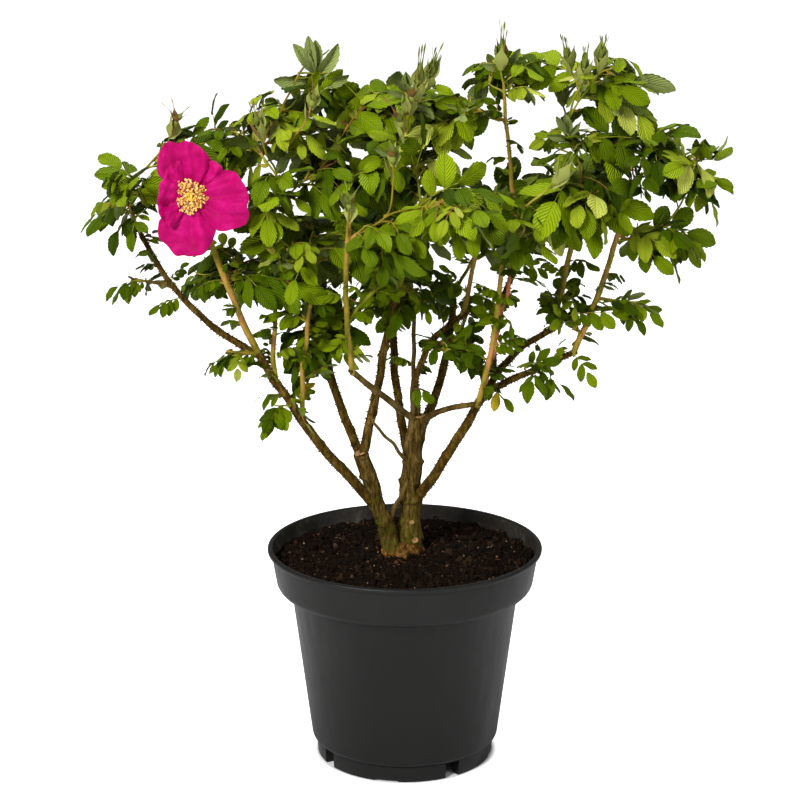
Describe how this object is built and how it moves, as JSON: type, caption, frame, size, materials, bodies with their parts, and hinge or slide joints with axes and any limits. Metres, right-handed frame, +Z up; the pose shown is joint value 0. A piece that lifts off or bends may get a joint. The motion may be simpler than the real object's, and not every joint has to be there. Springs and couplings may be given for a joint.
{
  "type": "rose bush",
  "caption": "Multi-stemmed shrub rose in a round black nursery pot, with bare forking stems, a spreading crown of pinnate leaves and an open single bloom.",
  "frame": {"origin": "centre of the pot's flat underside, at floor level", "axes": "+Z up, +X to the right, +Y to the back, the bloom faces -Y"},
  "size_m": [0.518, 0.3175, 0.6073],
  "materials": {
    "pot": "matt black, faintly scuffed",
    "soil": "crumbly peat",
    "bark": "rough, bristly",
    "cane": "smooth young cane",
    "leaf": "quilted leaves",
    "petal": "crumpled petals"
  },
  "bodies": {
    "root": {"pot": "pot", "soil": "soil", "right_trunk": "bark", "left_trunk": "bark", "left_bough": "bark", "left_outer_bough": "bark", "bloom_cane": "cane", "left_back_bough": "bark", "left_inner_bough": "bark", "centre_twig": "cane", "centre_cane": "cane", "back_centre_bough": "bark", "mid_bough": "bark", "back_right_bough": "bark", "right_bough": "bark", "right_fork_bough": "bark", "right_upright_cane": "cane", "back_fork_bough": "bark", "right_outer_bough": "bark", "right_outer_cane": "cane", "link_twig": "cane", "front_right_cane": "cane", "bloom": "petal", "leaves_far_left": "leaf", "leaves_behind_bloom": "leaf", "leaves_left_shoulder": "leaf", "leaves_left_inner": "leaf", "leaves_under_bloom": "leaf", "leaves_left_spray": "leaf", "leaves_left_low_spray": "leaf", "leaves_foot_left": "leaf", "leaves_peak_left": "leaf", "leaves_upper_left": "leaf", "leaves_upper_centre_left": "leaf", "leaves_mid_left": "leaf", "leaves_centre_left": "leaf", "leaves_low_left": "leaf", "leaves_top_centre": "leaf", "leaves_centre_upper": "leaf", "leaves_centre": "leaf", "leaves_centre_low": "leaf", "leaves_centre_sprig": "leaf", "leaves_top_mid": "leaf", "leaves_front": "leaf", "leaves_mid_right": "leaf", "leaves_peak_mid": "leaf", "leaves_peak_right": "leaf", "leaves_right_shoulder": "leaf", "leaves_right_mid": "leaf", "leaves_right_side": "leaf", "leaves_right_end": "leaf", "leaves_right_low": "leaf", "leaves_right_hand": "leaf", "leaves_right_spray": "leaf", "leaves_low_right_spray": "leaf", "leaves_back_left": "leaf", "leaves_back_centre": "leaf", "leaves_back_top": "leaf", "leaves_back_right": "leaf", "leaves_back_far_right": "leaf"}
  },
  "joints": []
}
